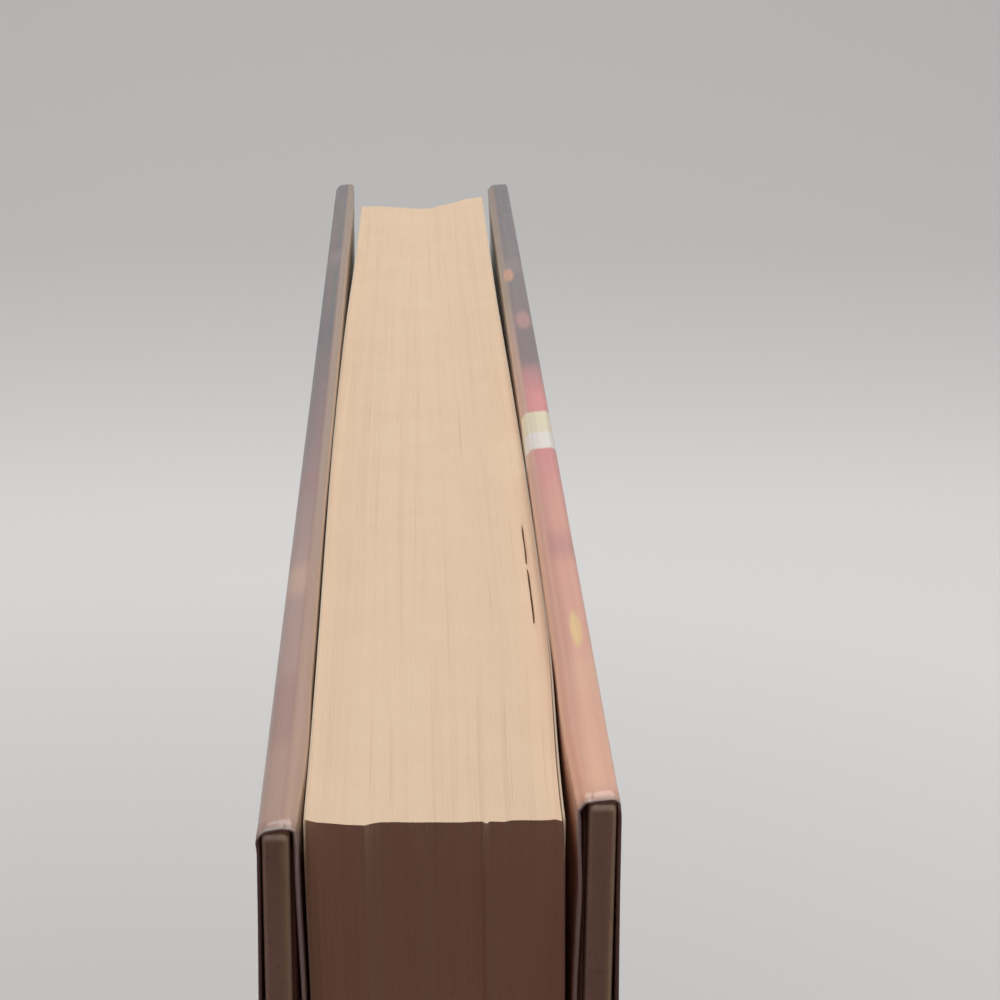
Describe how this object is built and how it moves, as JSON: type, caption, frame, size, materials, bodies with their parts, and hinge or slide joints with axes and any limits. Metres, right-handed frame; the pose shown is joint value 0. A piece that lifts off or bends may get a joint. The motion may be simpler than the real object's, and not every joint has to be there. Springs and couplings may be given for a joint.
{
  "type": "hardback book",
  "caption": "Case-bound hardback book with a flat back, closed and standing on its spine, in a printed gloss paper jacket with folded flaps; both covers open.",
  "frame": {"origin": "under the middle of the spine, on the surface that the book stands on", "axes": "+Z from the spine up to the fore edge, +Y from tail to head, +X from the front cover to the back cover"},
  "size_m": [0.031, 0.2364, 0.1574],
  "materials": {
    "page_paper": "uncoated, cream, trimmed smooth",
    "end_paper": "uncoated, smooth",
    "lining_paper": "brown kraft, matte",
    "greyboard": "rough grey board",
    "case_paper": "khaki, fine grain, matte",
    "jacket_paper": "coated and printed, gloss film",
    "mull_cloth": "stiffened open weave cotton",
    "band_cloth": "woven, beaded edge"
  },
  "bodies": {
    "block": {"text_block": "page_paper", "front_flyleaf": "end_paper", "back_flyleaf": "end_paper", "spine_mull": "mull_cloth", "spine_lining": "lining_paper", "headband": "band_cloth", "tailband": "band_cloth", "spine_stiffener": "greyboard", "case_spine": "case_paper", "jacket_spine": "jacket_paper", "front_case_joint": "case_paper", "front_jacket_joint": "jacket_paper", "front_mull_joint": "mull_cloth", "front_endpaper_joint": "end_paper", "back_case_joint": "case_paper", "back_jacket_joint": "jacket_paper", "back_mull_joint": "mull_cloth", "back_endpaper_joint": "end_paper"},
    "front_cover": {"front_board": "greyboard", "front_case_cover": "case_paper", "front_mull_flange": "mull_cloth", "front_pastedown": "end_paper", "jacket_front": "jacket_paper"},
    "back_cover": {"back_board": "greyboard", "back_case_cover": "case_paper", "back_mull_flange": "mull_cloth", "back_pastedown": "end_paper", "jacket_back": "jacket_paper"}
  },
  "joints": [
    {"name": "front_cover_hinge", "type": "hinge", "parent": "block", "child": "front_cover", "pos_m": [-0.0126, 0, 0.0028], "axis": [0, -1, 0], "range_deg": [0, 180], "deforming": ["front_case_joint", "front_jacket_joint", "front_mull_joint", "front_endpaper_joint"]},
    {"name": "back_cover_hinge", "type": "hinge", "parent": "block", "child": "back_cover", "pos_m": [0.0126, 0, 0.0028], "axis": [0, 1, 0], "range_deg": [0, 180], "deforming": ["back_case_joint", "back_jacket_joint", "back_mull_joint", "back_endpaper_joint"]}
  ]
}
